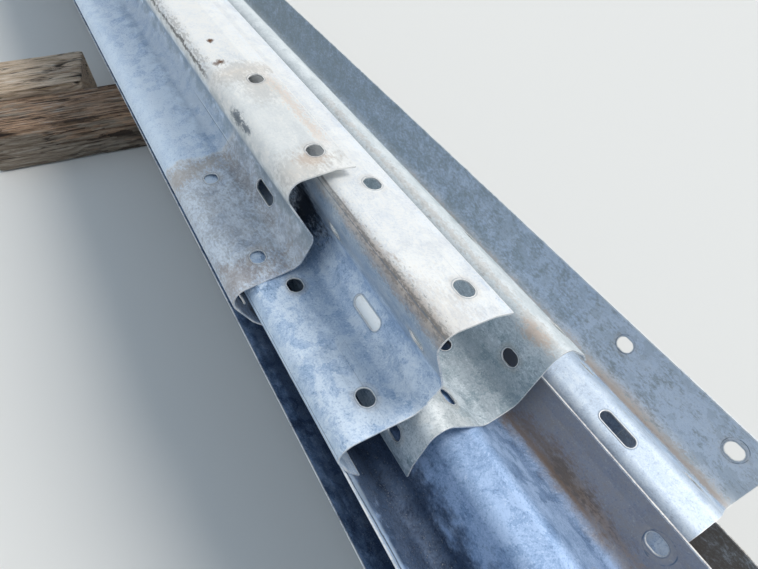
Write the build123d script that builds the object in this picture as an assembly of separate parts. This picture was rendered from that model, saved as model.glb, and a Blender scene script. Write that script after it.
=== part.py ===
from build123d import *
from math import sin, cos, tan, radians
import os

# One W-shaped guardrail section, in millimetres and degrees
BAY = 1905.0
BAYS = 4
SHEET = 2.67
WIDTH = 312.0
DEPTH = 83.0
CREST_SPACING = 194.0
BEND_RADIUS = 24.0
INNER_SLOPE = 54.0
OUTER_SLOPE = 57.0
LIP_SLOPE = 70.0
LIP_RADIUS = 12.0

# Splice holes and post slots, measured from a section's end
FIRST_COLUMN = 50.8
COLUMN_SPACING = 215.9
HOLE_FROM_CREST = 43.0
HOLE_WIDTH = 23.0
HOLE_LENGTH = 29.0
SLOT_FROM_END = 158.75
SLOT_WIDTH = 19.0
SLOT_LENGTH = 63.5
ROUND_END_SIDES = 4
LENGTH = BAYS * BAY + 2 * SLOT_FROM_END

# Timbers on the ground, turned a little from square to the rails
TIMBER_WIDTH = 203.0
TIMBER_HEIGHT = 152.0
TIMBER_LENGTH = 1220.0
TIMBER_SKEW = -12.5
TIMBER_EDGE = 5.0
BEARER_FROM_END = 2175.0
SPARE_WIDTH = 229.0
SPARE_HEIGHT = 178.0
SPARE_LENGTH = 320.0

# Gap left where one piece lies on another
SEAT = 0.3

# The pile from the ground up: name, face, place across, how far the near end stands back, lean, and the
# section that it nests in. A nested section's place is counted across the face of the one that it nests in.
PILE = [
    ("right_base_rail", "down", 226.0, 8.0, 0.0, None),
    ("right_base_rail_nested", "down", 0.0, 28.0, 0.0, "right_base_rail"),
    ("left_base_rail", "down", -20.0, 103.0, 26.0, None),
    ("right_upturned_rail", "up", 228.0, 383.0, 0.0, None),
    ("left_upturned_rail", "up", 226.0, 415.0, 0.0, None),
    ("right_outer_rail", "down", 231.5, 246.0, 2.9, None),
    ("front_rail", "down", 2.8, 0.0, 2.1, None),
    ("middle_rail", "up", 76.7, 495.0, 8.2, None),
    ("leaning_rail", "up", -26.7, 530.0, 46.9, None),
    ("top_rail", "up", -3.2, 820.0, 55.2, "leaning_rail"),
]
START = -(LENGTH + max(back for _, _, _, back, _, _ in PILE)) / 2


# The W profile, worked out from the sizes above
MID_DEPTH = DEPTH - SHEET
CREST = CREST_SPACING / 2
TI = radians(INNER_SLOPE)
TO = radians(OUTER_SLOPE)
TL = radians(LIP_SLOPE)
INNER_RUN = (MID_DEPTH - 2 * BEND_RADIUS * (1 - cos(TI))) / sin(TI)
HALF_FLAT = CREST - 2 * BEND_RADIUS * sin(TI) - INNER_RUN * cos(TI)


def polar(centre, radius, angle):
    """A point on a circle, the angle counted from straight up towards the lip."""
    return (centre[0] + radius * sin(angle), centre[1] + radius * cos(angle))


def outer_leg():
    """The centre of the lip bend and the length of the lip, so that the lip ends level with the valley."""
    end_u = WIDTH / 2 - SHEET / 2 * sin(TL)
    end_v = SHEET / 2 * (cos(TL) - 1)
    bend = BEND_RADIUS - LIP_RADIUS
    over = end_u - CREST - bend * sin(TO) - LIP_RADIUS * sin(TL)
    down = MID_DEPTH - BEND_RADIUS + bend * cos(TO) + LIP_RADIUS * cos(TL) - end_v
    run = (over * sin(TL) - down * cos(TL)) / sin(TL - TO)
    lip = (down * cos(TO) - over * sin(TO)) / sin(TL - TO)
    centre = (
        CREST + run * cos(TO) + bend * sin(TO),
        MID_DEPTH - BEND_RADIUS - run * sin(TO) + bend * cos(TO),
    )
    return centre, lip


VALLEY_CENTRE = (HALF_FLAT, BEND_RADIUS)
CREST_CENTRE = (CREST, MID_DEPTH - BEND_RADIUS)
LIP_CENTRE, LIP_RUN = outer_leg()


def half_surface(side):
    """One face of the sheet from the middle to the lip: its bends as (centre, radius, from, to), and its end."""
    valley = (VALLEY_CENTRE, BEND_RADIUS - side, radians(180), radians(180) - TI)
    crest = (CREST_CENTRE, BEND_RADIUS + side, -TI, TO)
    lip = (LIP_CENTRE, LIP_RADIUS + side, TO, TL)
    last = polar(LIP_CENTRE, LIP_RADIUS + side, TL)
    end = (last[0] + LIP_RUN * cos(TL), last[1] - LIP_RUN * sin(TL))
    return [valley, crest, lip], end


def surface_edges(side):
    """One face of the sheet from lip to lip, as lines and arcs in the XZ plane."""
    edges = []
    for hand in (1, -1):
        bends, end = half_surface(side)
        here = (0, side)
        for centre, radius, start, stop in bends:
            points = [polar(centre, radius, a) for a in (start, (start + stop) / 2, stop)]
            points = [(hand * u, 0, v) for u, v in points]
            edges.append(Line((hand * here[0], 0, here[1]), points[0]))
            edges.append(ThreePointArc(*points))
            here = (hand * points[2][0], points[2][2])
        edges.append(Line((hand * here[0], 0, here[1]), (hand * end[0], 0, end[1])))
    return edges


def profile_face():
    """The whole section of the sheet, a closed W 2.67 mm thick."""
    edges = surface_edges(SHEET / 2) + surface_edges(-SHEET / 2)
    top_end = half_surface(SHEET / 2)[1]
    low_end = half_surface(-SHEET / 2)[1]
    for hand in (1, -1):
        edges.append(Line((hand * top_end[0], 0, top_end[1]), (hand * low_end[0], 0, low_end[1])))
    return Face(Wire(edges))


def slope_point(row):
    """Where a row of splice holes sits: its place across the section and the direction it faces."""
    hand = 1 if row in (3, 4) else -1
    if row in (2, 3):
        foot = polar(VALLEY_CENTRE, BEND_RADIUS, radians(180) - TI)
        u = CREST - HOLE_FROM_CREST
        v = foot[1] + (u - foot[0]) * tan(TI)
        normal = (-sin(TI), cos(TI))
    else:
        head = polar(CREST_CENTRE, BEND_RADIUS, TO)
        u = CREST + HOLE_FROM_CREST
        v = head[1] - (u - head[0]) * tan(TO)
        normal = (sin(TO), cos(TO))
    return (hand * u, v), (hand * normal[0], normal[1])


def slot_corners(length, width):
    """The corners of a round-ended slot. Each round end is a few straight sides that touch the true arc."""
    reach = (length - width) / 2
    corner = width / 2 / cos(radians(90 / ROUND_END_SIDES))
    corners = []
    for hand in (1, -1):
        for k in range(ROUND_END_SIDES):
            a = radians(180 * (k + 0.5) / ROUND_END_SIDES - 90)
            corners.append((hand * (reach + corner * cos(a)), hand * corner * sin(a)))
    return corners


def cutter(u, v, normal, y, length, width):
    """A round-ended slot that runs along the rail and goes square through the sheet."""
    plane = Plane(origin=(u, y, v), x_dir=(0, 1, 0), z_dir=(normal[0], 0, normal[1]))
    shape = plane * Polygon(*slot_corners(length, width), align=None)
    return extrude(shape, amount=3 * SHEET, both=True)


def rail_section():
    """One section, lying face up with its near end at Y = 0."""
    rail = extrude(profile_face(), amount=LENGTH, dir=(0, 1, 0))
    columns = [FIRST_COLUMN, FIRST_COLUMN + COLUMN_SPACING]
    columns += [LENGTH - y for y in columns]
    cutters = []
    for row in (1, 2, 3, 4):
        (u, v), normal = slope_point(row)
        for y in columns:
            cutters.append(cutter(u, v, normal, y, HOLE_LENGTH, HOLE_WIDTH))
    for bay in range(BAYS + 1):
        y = SLOT_FROM_END + bay * BAY
        cutters.append(cutter(0, 0, (0, 1), y, SLOT_LENGTH, SLOT_WIDTH))
    return rail - cutters


def outline(face, lean, clear):
    """The section's outline as points (x, z) about its centre, turned as it lies, and grown by a clearance."""
    points = []
    for side in (SHEET / 2 + clear, -SHEET / 2 - clear):
        half = [(0, side)]
        bends, end = half_surface(side)
        for centre, radius, start, stop in bends:
            half += [polar(centre, radius, start + (stop - start) * k / 8) for k in range(9)]
        half.append((end[0] + clear * cos(TL), end[1] - clear * sin(TL)))
        whole = [(-u, v) for u, v in half[:0:-1]] + half
        points += whole if side > 0 else whole[::-1]
    flip = 1 if face == "up" else -1
    a = radians(lean)
    return [(u * cos(a) - flip * v * sin(a), u * sin(a) + flip * v * cos(a)) for u, v in points]


def height_over(points, edges):
    """The least height of the points above the edges straight below them."""
    least = 1e9
    for x, z in points:
        for (x0, z0), (x1, z1) in edges:
            if min(x0, x1) <= x <= max(x0, x1) and x0 != x1:
                least = min(least, z - z0 - (z1 - z0) * (x - x0) / (x1 - x0))
    return least


def turned(points, angle):
    """Points turned clockwise, so that the way home points straight down."""
    a = radians(angle)
    return [(x * cos(a) + z * sin(a), z * cos(a) - x * sin(a)) for x, z in points]


def loops(points):
    """The edges of a closed outline."""
    return list(zip(points, points[1:] + points[:1]))


def fall(moving, fixed, angle):
    """How far an outline moves along its way home before it meets a fixed one."""
    over = turned(moving, angle)
    under = turned(fixed, angle)
    down = height_over(over, loops(under))
    up = height_over([(x, -z) for x, z in under], [((a, -b), (c, -d)) for (a, b), (c, d) in loops(over)])
    return min(down, up)


def placed(rail, clear):
    """A section's outline where it lies."""
    return [(rail["x"] + x, rail["z"] + z) for x, z in outline(rail["face"], rail["lean"], clear)]


def lay(rail, laid, under):
    """Lowers one section, straight down or square to the one that it nests in, until it meets a piece."""
    angle = rail["lean"] if under else 0.0
    a = radians(angle)
    way = 10 * DEPTH
    start_x = under["x"] + rail["x"] * cos(a) if under else rail["x"]
    start_z = under["z"] + rail["x"] * sin(a) if under else TIMBER_HEIGHT
    rail["x"] = start_x - way * sin(a)
    rail["z"] = start_z + way * cos(a)
    skin = placed(rail, SEAT)
    drop = (min(z for _, z in skin) - TIMBER_HEIGHT) / cos(a)
    for other in laid:
        drop = min(drop, fall(skin, placed(other, 0), angle))
    rail["x"] += drop * sin(a)
    rail["z"] -= drop * cos(a)


def lay_pile():
    """Each section in turn is lowered until it lies on the timbers or on a section before it."""
    laid = {}
    for name, face, x, back, lean, nest in PILE:
        rail = dict(face=face, x=x, z=0.0, near=START + back, lean=lean)
        lay(rail, list(laid.values()), laid.get(nest))
        laid[name] = rail
    return laid


def place_rail(section, rail):
    """A copy of the section where it lies in the pile."""
    over = 0 if rail["face"] == "up" else 180
    return Pos(rail["x"], rail["near"], rail["z"]) * Rot(0, over - rail["lean"], 0) * section


def timber(length, width, height):
    """A sawn timber lying on the ground, its long edges eased."""
    block = Box(length, width, height)
    block = chamfer(block.edges().filter_by(Axis.X), TIMBER_EDGE)
    return Pos(0, 0, height / 2) * block


def timbers():
    """The two bearers, and the thicker offcut that lies against the back of the near one."""
    skew = Rot(0, 0, TIMBER_SKEW)
    near = Pos(0, START + BEARER_FROM_END, 0) * skew
    far = Pos(0, -START - BEARER_FROM_END, 0) * skew
    bearer = timber(TIMBER_LENGTH, TIMBER_WIDTH, TIMBER_HEIGHT)
    spare = timber(SPARE_LENGTH, SPARE_WIDTH, SPARE_HEIGHT)
    beside = Pos((SPARE_LENGTH - TIMBER_LENGTH) / 2, (TIMBER_WIDTH + SPARE_WIDTH) / 2 + SEAT, 0)
    return {"near_bearer": near * bearer, "far_bearer": far * bearer, "spare_timber": near * beside * spare}


def main():
    """Writes one STEP file for each piece."""
    os.makedirs("parts", exist_ok=True)
    for name, shape in timbers().items():
        export_step(shape, f"parts/{name}.step")
    section = rail_section()
    for name, rail in lay_pile().items():
        export_step(place_rail(section, rail), f"parts/{name}.step")


main()
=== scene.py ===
from collections import namedtuple
from math import pi, radians

import bpy
import numpy as np
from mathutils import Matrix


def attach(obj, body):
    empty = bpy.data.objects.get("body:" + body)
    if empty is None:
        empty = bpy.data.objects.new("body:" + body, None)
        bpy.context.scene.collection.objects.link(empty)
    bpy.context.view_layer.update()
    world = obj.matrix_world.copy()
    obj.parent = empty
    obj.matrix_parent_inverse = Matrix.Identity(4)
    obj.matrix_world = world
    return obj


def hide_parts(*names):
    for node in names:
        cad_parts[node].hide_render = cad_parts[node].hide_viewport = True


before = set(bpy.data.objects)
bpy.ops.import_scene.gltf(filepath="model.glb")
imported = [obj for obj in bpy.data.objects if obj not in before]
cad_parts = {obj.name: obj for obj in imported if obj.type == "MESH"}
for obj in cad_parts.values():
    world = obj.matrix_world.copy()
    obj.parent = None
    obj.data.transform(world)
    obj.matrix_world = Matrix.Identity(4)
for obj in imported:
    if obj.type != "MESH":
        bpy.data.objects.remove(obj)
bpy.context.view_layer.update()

# The camera stands left of the near ends and looks down along the pile. Angles in degrees.
CAMERA_PLACE = (-0.243, -4.093, 1.200)
CAMERA_DOWN = 50.7
CAMERA_RIGHT = 30.24
FOCAL_PIXELS = 544.4
PHOTO_WIDTH = 758
SENSOR = 36.0
NEAREST_SEEN = 0.01

# Light and floor of the studio
SUN_STRENGTH = 2.15
SUN_COLOUR = (1.0, 0.965, 0.91)
SUN_SPREAD = 30
SUN_TILT = (12, 36, 0)
SKY_COLOUR = (0.73, 0.87, 1.0)
SKY_STRENGTH = 0.48
FLOOR_COLOUR = (0.87, 0.85, 0.82)
FLOOR_ROUGHNESS = 0.9
FLOOR_REACH = 40.0

# Sizes of the guardrail section that the finishes and beads follow, in metres. Round is the radius of a hole's
# ends and straight is half the part between them. A row of holes is given by its place across and its height.
BAY = 1.905
BAYS = 4
END_TO_SLOT = 0.15875
RAIL_LENGTH = BAYS * BAY + 2 * END_TO_SLOT
SPLICE_LAP = 2 * END_TO_SLOT
SLOT_TO_HOLES = 0.10795
SHEET = 0.00267
HOLE_ROUND = 0.0115
HOLE_STRAIGHT = 0.003
SLOT_ROUND = 0.0095
SLOT_STRAIGHT = 0.02225
INNER_ROW = (0.054, 0.0384)
OUTER_ROW = (0.140, 0.0346)
BEND = 0.104
HALF_WIDTH = 0.156

# Zinc in its deep, middle and light shade
BLUE_ZINC = ((0.115, 0.185, 0.31), (0.38, 0.53, 0.75), (0.72, 0.83, 0.96))
DARK_ZINC = ((0.08, 0.13, 0.25), (0.21, 0.33, 0.54), (0.40, 0.54, 0.78))
GREY_ZINC = ((0.15, 0.20, 0.24), (0.38, 0.47, 0.52), (0.74, 0.80, 0.84))

# What lies on the zinc, from light to dark. The chalk white also serves as painted highlight, the oxide
# white as painted light, and the flank grey, shade blue and navy as painted shade
CHALK_AND_HIGHLIGHT_WHITE = (0.87, 0.86, 0.83)
OXIDE_AND_PAINTED_LIGHT_WHITE = (0.82, 0.88, 0.93)
BLOOM_BLUE = (0.67, 0.81, 0.96)
RUBBED_WHITE = (0.76, 0.80, 0.82)
POWDER = (0.68, 0.73, 0.80)
WASHED_BLUE = (0.65, 0.71, 0.79)
VALLEY_BLUE = (0.62, 0.68, 0.745)
WASHED_GREY = (0.55, 0.62, 0.66)
DULL_GREY = (0.37, 0.41, 0.42)
BLOTCH_GREY = (0.30, 0.37, 0.42)
VALLEY_GREY = (0.22, 0.29, 0.34)
DULL_BLUE = (0.22, 0.29, 0.335)
FLANK_SHADE_GREY = (0.16, 0.19, 0.21)
SHADE_BLUE = (0.09, 0.15, 0.23)
NAVY = (0.016, 0.028, 0.060)

# Stains, dirt and rust
STAIN_TAN = (0.52, 0.45, 0.38)
STAIN_GREY = (0.36, 0.325, 0.30)
DRIED_MUD = (0.36, 0.305, 0.265)
DIRT_GREY = (0.12, 0.12, 0.12)
DIRT_BROWN = (0.15, 0.12, 0.095)
RUST_LIGHT = (0.56, 0.34, 0.19)
RUST_BROWN = (0.31, 0.195, 0.12)
RUST_DARK = (0.13, 0.065, 0.035)
# A near black brown, laid in wide bands along both sides of the base rails
DARK_BROWN = (0.045, 0.03, 0.022)

# Timber
WOOD_LIGHT = (0.90, 0.77, 0.64)
WOOD_PALE = (0.82, 0.64, 0.48)
WOOD_TORN = (0.60, 0.37, 0.23)
WOOD_SILVER = (0.56, 0.51, 0.45)
WOOD_TAN = (0.46, 0.32, 0.20)
WOOD_FACE = (0.35, 0.29, 0.225)
WOOD_RED = (0.27, 0.15, 0.085)
WOOD_BROWN = (0.105, 0.065, 0.04)
WOOD_DARK = (0.028, 0.018, 0.013)


# Small helpers for shader trees

EVEN = (1.0, 1.0, 1.0)


def place(tree, kind, inputs=None, **settings):
    """Adds a node. Each input takes a plain value or the socket that feeds it."""
    made = tree.nodes.new(kind)
    for name, value in settings.items():
        setattr(made, name, value)
    for key, value in (inputs or {}).items():
        if isinstance(value, bpy.types.NodeSocket):
            tree.links.new(value, made.inputs[key])
        else:
            made.inputs[key].default_value = value
    return made


def calc(tree, operation, a, b=0.0):
    """One sum, product or the like of two values."""
    return place(tree, "ShaderNodeMath", {0: a, 1: b}, operation=operation).outputs[0]


def less(tree, a, b):
    """One value less another."""
    return calc(tree, "SUBTRACT", a, b)


def product(tree, a, b):
    """One value times another."""
    return calc(tree, "MULTIPLY", a, b)


def apart(tree, a, b):
    """How far two values lie apart, whichever is the larger."""
    return calc(tree, "ABSOLUTE", less(tree, a, b))


def total(tree, *shares):
    """The sum of several values, each with its own weight."""
    result = 0.0
    for value, weight in shares:
        result = place(tree, "ShaderNodeMath", {0: value, 1: weight, 2: result}, operation="MULTIPLY_ADD").outputs[0]
    return result


def raised(tree, mask, more, base):
    """A base share, and more of it where a mask lies."""
    return total(tree, (mask, more), (1.0, base))


def ramp(tree, value, low, high):
    """0 below low, 1 above high and smooth between, or the other way round where low is more than high."""
    made = place(tree, "ShaderNodeMapRange", {0: value, 1: low, 2: high}, interpolation_type="SMOOTHSTEP")
    return made.outputs[0]


def stretched(tree, vector, scale, shift=(0.0, 0.0, 0.0)):
    """The same coordinates with each axis scaled, and moved to another part of a pattern."""
    inputs = {"Vector": vector, "Scale": scale, "Location": shift}
    return place(tree, "ShaderNodeMapping", inputs).outputs[0]


def noise(tree, vector, stretch, scale=1.0, detail=3.0, roughness=0.55, kind="Fac"):
    """Cloudy noise about 0.5, with so many lumps a metre, on coordinates that are stretched first."""
    inputs = {"Vector": stretched(tree, vector, stretch), "Scale": scale, "Detail": detail, "Roughness": roughness}
    return place(tree, "ShaderNodeTexNoise", inputs).outputs[kind]


def cell_chance(tree, vector, scale):
    """One chance value for each cell of a Voronoi pattern, with so many cells a metre."""
    cells = place(tree, "ShaderNodeTexVoronoi", {"Vector": vector, "Scale": scale, "Randomness": 1.0})
    return place(tree, "ShaderNodeSeparateColor", {0: cells.outputs["Color"]}).outputs[0]


def vector_calc(tree, operation, a, b):
    """The difference or quotient of two vectors."""
    return place(tree, "ShaderNodeVectorMath", {0: a, 1: b}, operation=operation).outputs[0]


def axes(tree, vector):
    """The three coordinates of a place."""
    return place(tree, "ShaderNodeSeparateXYZ", {0: vector}).outputs


def length(tree, x, y, z=0.0):
    """The length of a vector with these three parts."""
    vector = place(tree, "ShaderNodeCombineXYZ", {0: x, 1: y, 2: z}).outputs[0]
    return place(tree, "ShaderNodeVectorMath", {0: vector}, operation="LENGTH").outputs["Value"]


def opaque(colour):
    """A plain colour gets its alpha; a socket stays as it is."""
    return colour if isinstance(colour, bpy.types.NodeSocket) else (*colour, 1.0)


def tint(tree, share, under, over):
    """Lays one colour over another by a share from 0 to 1."""
    inputs = {0: share, 6: opaque(under), 7: opaque(over)}
    return place(tree, "ShaderNodeMix", inputs, data_type="RGBA").outputs[2]


def paint(tree, under, over, mask, share):
    """Lays a colour over another where a mask lets it, and there by a share."""
    return tint(tree, product(tree, mask, share), under, over)


def shader_group(vectors, values=()):
    """Makes a shader group of the function below it, which fills a tree and gives the group's outputs."""
    def build(fill):
        tree = bpy.data.node_groups.new(fill.__name__, "ShaderNodeTree")
        for kind, labels in (("NodeSocketVector", vectors), ("NodeSocketFloat", values)):
            for label in labels:
                tree.interface.new_socket(label, in_out="INPUT", socket_type=kind)
        made = fill(tree, tree.nodes.new("NodeGroupInput").outputs)
        for label in made:
            tree.interface.new_socket(label, in_out="OUTPUT", socket_type="NodeSocketFloat")
        ends = tree.nodes.new("NodeGroupOutput").inputs
        for label, socket in made.items():
            tree.links.new(socket, ends[label])
        return tree
    return build


def use(tree, group, **inputs):
    """Places a group in a tree and gives each of its inputs."""
    return place(tree, "ShaderNodeGroup", inputs, node_tree=group).outputs


# Effects that several finishes share

# Each pattern's stretch along the axes, lumps a metre, detail and roughness
ZINC_NOISES = {
    "Cloud": ((1.0, 0.4, 1.0), 7.0, 3.0, 0.55),
    "Mottle": ((1.0, 0.7, 1.0), 36.0, 5.0, 0.70),
    "Grain": (EVEN, 420.0, 2.0, 0.75),
    "Speck": ((1.0, 0.4, 1.0), 260.0, 3.0, 0.75),
    "Drift": ((0.0, 1.0, 0.0), 5.0, 2.0, 0.55),
}
STROKE_CRYSTALS = 46.0
LEAF_CRYSTALS = 48.0
LEAF_WARP = 0.020

TIMBER_NOISES = {
    "Streak": ((9.0, 120.0, 120.0), 1.0, 5.0, 0.70),
    "Fibre": ((26.0, 620.0, 620.0), 1.0, 3.0, 0.70),
    "Blotch": ((6.0, 22.0, 22.0), 1.0, 4.0, 0.62),
}
RING_GAP = 0.0075
RING_SWAY = 0.09

# How far marks fade and waver, in metres. A pair is where a mark ends and where it is full.
CUT_EDGE_WIDTH = 0.0009
LIP_ONLY = (HALF_WIDTH - 0.008, HALF_WIDTH - 0.006)
NEAR_BEND = (0.022, 0.006)
LINE_WAVER = 0.008
LINE_START = 0.03
LINE_STOP = 0.05
LAP_WAVER = 0.045
LAP_FADE = 0.004
LAP_RIM = (0.009, 0.001)
RING_PRINT = (0.0012, 0.00036)

# The same for the sides of marks, as parts of their half size, and for levels of a noise. BEND_SCRATCHES says how
# many more show at the bends and how many everywhere, and the more show, the lower is the level they start at.
BAND_SIDE = (1.35, 0.65)
BAND_TEAR = 3.5
PATCH_SIDE = (1.3, 0.3)
LINE_SIDE = (1.20, 0.50)
RING_WORN = (0.35, 0.6)
BEND_SCRATCHES = (0.75, 0.25)
SCRATCH_LEVEL = (-0.22, 0.74)
SCRATCH_RISE = 0.05
SCRATCH_GATE = (0.42, 0.6)
LATE_WOOD = (0.15, 0.85)
RING_END = (1.0, 0.9)
CRACK_LINE = (0.026, 0.006)
CRACK_GATE = (0.46, 0.56)


@shader_group(["Place"])
def zinc_crystals(tree, given):
    """Patterns of a hot-dipped zinc coat, each about 0.5: Cloud, Mottle, Grain, Speck, Drift, Feather and Leaf.

    The first five are plain noises. Specks are drawn out along the rail, and Drift changes along it alone.
    Feathers are short noise strokes, turned in each crystal by an angle of its own. Leaf is one value for each
    small crystal, its outline warped by noise."""
    at = given["Place"]
    result = {label: noise(tree, at, *pattern) for label, pattern in ZINC_NOISES.items()}
    inputs = {"Vector": at, "Angle": product(tree, cell_chance(tree, at, STROKE_CRYSTALS), pi)}
    turned = place(tree, "ShaderNodeVectorRotate", inputs, rotation_type="Z_AXIS").outputs[0]
    result["Feather"] = noise(tree, turned, (270.0, 85.0, 270.0), 1.0, 3.0, 0.72)
    inputs = {0: noise(tree, at, EVEN, 130.0, 3.0, 0.7, "Color"), 1: (LEAF_WARP, LEAF_WARP, LEAF_WARP), 2: at}
    warped = place(tree, "ShaderNodeVectorMath", inputs, operation="MULTIPLY_ADD").outputs[0]
    result["Leaf"] = cell_chance(tree, warped, LEAF_CRYSTALS)
    return result


def from_rail_end(tree, y):
    """How far a place along the rail lies from the nearer end."""
    return less(tree, RAIL_LENGTH / 2, apart(tree, y, RAIL_LENGTH / 2))


@shader_group(["Place"])
def hole_distances(tree, given):
    """How far a point lies outside the nearest splice hole and the nearest post slot, in metres.

    The place across is folded at the middle and the place along at the rail's middle and again at the end
    slot, so one inner and one outer hole stand for all sixteen. A slot is the distance from a short line."""
    x, y, z = axes(tree, given["Place"])
    along = apart(tree, apart(tree, from_rail_end(tree, y), END_TO_SLOT), SLOT_TO_HOLES)
    along = calc(tree, "MAXIMUM", less(tree, along, HOLE_STRAIGHT), 0.0)
    ways = []
    for across, up in (INNER_ROW, OUTER_ROW):
        aside = less(tree, calc(tree, "ABSOLUTE", x), across)
        ways.append(length(tree, aside, along, less(tree, z, up)))
    hole = less(tree, calc(tree, "MINIMUM", *ways), HOLE_ROUND)
    bay = calc(tree, "PINGPONG", less(tree, y, END_TO_SLOT), BAY)
    to_slot = calc(tree, "MINIMUM", bay, less(tree, BAY, bay))
    along = calc(tree, "MAXIMUM", less(tree, to_slot, SLOT_STRAIGHT), 0.0)
    return {"Hole": hole, "Slot": less(tree, length(tree, x, along, z), SLOT_ROUND)}


@shader_group(["Place"])
def cut_edges(tree, given):
    """The sheared edges of the sheet: its two lips, which end level with the valley, and its two ends."""
    x, y, z = axes(tree, given["Place"])
    outside = ramp(tree, calc(tree, "ABSOLUTE", x), *LIP_ONLY)
    lip = product(tree, outside, ramp(tree, z, CUT_EDGE_WIDTH * 2, CUT_EDGE_WIDTH))
    end = ramp(tree, from_rail_end(tree, y), CUT_EDGE_WIDTH, CUT_EDGE_WIDTH / 2)
    return {"Mask": calc(tree, "MAXIMUM", lip, end)}


@shader_group(["Place"], ["Across", "Width", "Torn", "Lumps"])
def soft_band(tree, given):
    """A band along the rail that fades at wavering, blotchy sides."""
    x = axes(tree, given["Place"])[0]
    off = calc(tree, "DIVIDE", apart(tree, x, given["Across"]), given["Width"])
    uneven = less(tree, given["Lumps"], 0.5)
    torn = product(tree, uneven, product(tree, given["Torn"], BAND_TEAR))
    return {"Mask": ramp(tree, calc(tree, "ADD", off, torn), *BAND_SIDE)}


@shader_group(["Place", "Centre", "Size"], ["Lumps", "Specks"])
def ragged_patch(tree, given):
    """A stain: an ellipse across and along the rail, its edge torn and its body broken by lumps and specks."""
    off = vector_calc(tree, "SUBTRACT", given["Place"], given["Centre"])
    x, y, _ = axes(tree, vector_calc(tree, "DIVIDE", off, given["Size"]))
    torn = total(tree, (given["Lumps"], 2.2), (given["Specks"], 2.6), (1.0, -2.4))
    return {"Mask": ramp(tree, calc(tree, "ADD", length(tree, x, y), torn), *PATCH_SIDE)}


@shader_group(["Place"], ["Across", "Width", "From", "To", "Broken", "Lumps", "Specks", "Drift"])
def worn_line(tree, given):
    """A rubbed or dirty line along the rail, which wavers with the drift and is broken by specks and lumps."""
    x, y, _ = axes(tree, given["Place"])
    waver = product(tree, less(tree, given["Drift"], 0.5), LINE_WAVER)
    off = apart(tree, calc(tree, "ADD", x, waver), given["Across"])
    ragged = total(tree, (given["Specks"], -4.0), (given["Lumps"], -2.5), (1.0, 3.6))
    torn = product(tree, ragged, given["Broken"])
    body = ramp(tree, calc(tree, "ADD", calc(tree, "DIVIDE", off, given["Width"]), torn), *LINE_SIDE)
    start = less(tree, y, given["From"])
    stop = less(tree, y, given["To"])
    ends = product(tree, ramp(tree, start, -LINE_START, LINE_START), ramp(tree, stop, LINE_STOP, -LINE_STOP))
    return {"Mask": product(tree, body, ends)}


@shader_group(["Place"], ["Reach", "Slant", "Lumps"])
def lap_mark(tree, given):
    """The weathered end that another section once covered, its edge nearly straight across the rail."""
    x, y, _ = axes(tree, given["Place"])
    edge = calc(tree, "ADD", given["Reach"], product(tree, x, given["Slant"]))
    off = total(tree, (y, 1.0), (edge, -1.0), (given["Lumps"], LAP_WAVER), (1.0, -LAP_WAVER / 2))
    return {"Mask": ramp(tree, off, LAP_FADE, -LAP_FADE), "Edge": ramp(tree, calc(tree, "ABSOLUTE", off), *LAP_RIM)}


@shader_group(["Place"], ["Amount"])
def roll_scratches(tree, given):
    """Fine broken lines along the rail, left on the bends by the rolls and by handling."""
    lines = noise(tree, given["Place"], (900.0, 7.0, 900.0), 1.0, 2.0, 0.5)
    gate = noise(tree, given["Place"], (26.0, 3.0, 26.0), 1.0, 3.0, 0.6)
    x = axes(tree, given["Place"])[0]
    near_bend = ramp(tree, apart(tree, calc(tree, "ABSOLUTE", x), BEND), *NEAR_BEND)
    level = product(tree, raised(tree, near_bend, *BEND_SCRATCHES), given["Amount"])
    low = raised(tree, level, *SCRATCH_LEVEL)
    hit = ramp(tree, lines, low, calc(tree, "ADD", low, SCRATCH_RISE))
    return {"Mask": product(tree, hit, ramp(tree, gate, *SCRATCH_GATE))}


@shader_group(["Place", "Centre"], ["Radius"])
def washer_ring(tree, given):
    """The ring that a washer or bolt head printed round a point, its strength uneven round the circle."""
    off = axes(tree, vector_calc(tree, "SUBTRACT", given["Place"], given["Centre"]))
    ring = ramp(tree, apart(tree, length(tree, *off), given["Radius"]), *RING_PRINT)
    worn = ramp(tree, noise(tree, given["Place"], EVEN, 90.0), *RING_WORN)
    return {"Mask": product(tree, ring, worn)}


@shader_group(["Place", "Pith"])
def timber_grain(tree, given):
    """Streaks, fibres, blotches, growth rings and cracks of a sawn timber with its length along X.

    The rings are the wavering distance from a pith line below the timber, folded into early and late wood,
    so that they run along the faces as grain and show as arcs at the ends. A crack is where a long noise
    crosses its middle value."""
    at = given["Place"]
    result = {label: noise(tree, at, *pattern) for label, pattern in TIMBER_NOISES.items()}
    _, y, z = axes(tree, vector_calc(tree, "SUBTRACT", at, given["Pith"]))
    sway = noise(tree, at, (1.4, 5.0, 5.0), 1.8, 3.0, 0.5)
    radius = calc(tree, "ADD", length(tree, 0.0, y, z), product(tree, sway, RING_SWAY))
    saw = calc(tree, "FRACT", calc(tree, "DIVIDE", radius, RING_GAP))
    result["Ring"] = product(tree, ramp(tree, saw, *LATE_WOOD), ramp(tree, saw, *RING_END))
    line = ramp(tree, apart(tree, noise(tree, at, (3.5, 42.0, 42.0)), 0.5), *CRACK_LINE)
    gate = ramp(tree, noise(tree, at, (5.0, 20.0, 20.0), 1.0, 2.0), *CRACK_GATE)
    result["Crack"] = product(tree, line, gate)
    return result


# Where each piece lies, read from its own mesh

END_SLICE = 0.001


def mesh_points(node):
    """The node's vertices as an array, each place once."""
    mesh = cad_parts[node].data
    points = np.zeros(len(mesh.vertices) * 3, np.float32)
    mesh.vertices.foreach_get("co", points)
    return np.unique(points.reshape(-1, 3).astype(float).round(5), axis=0)


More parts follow.
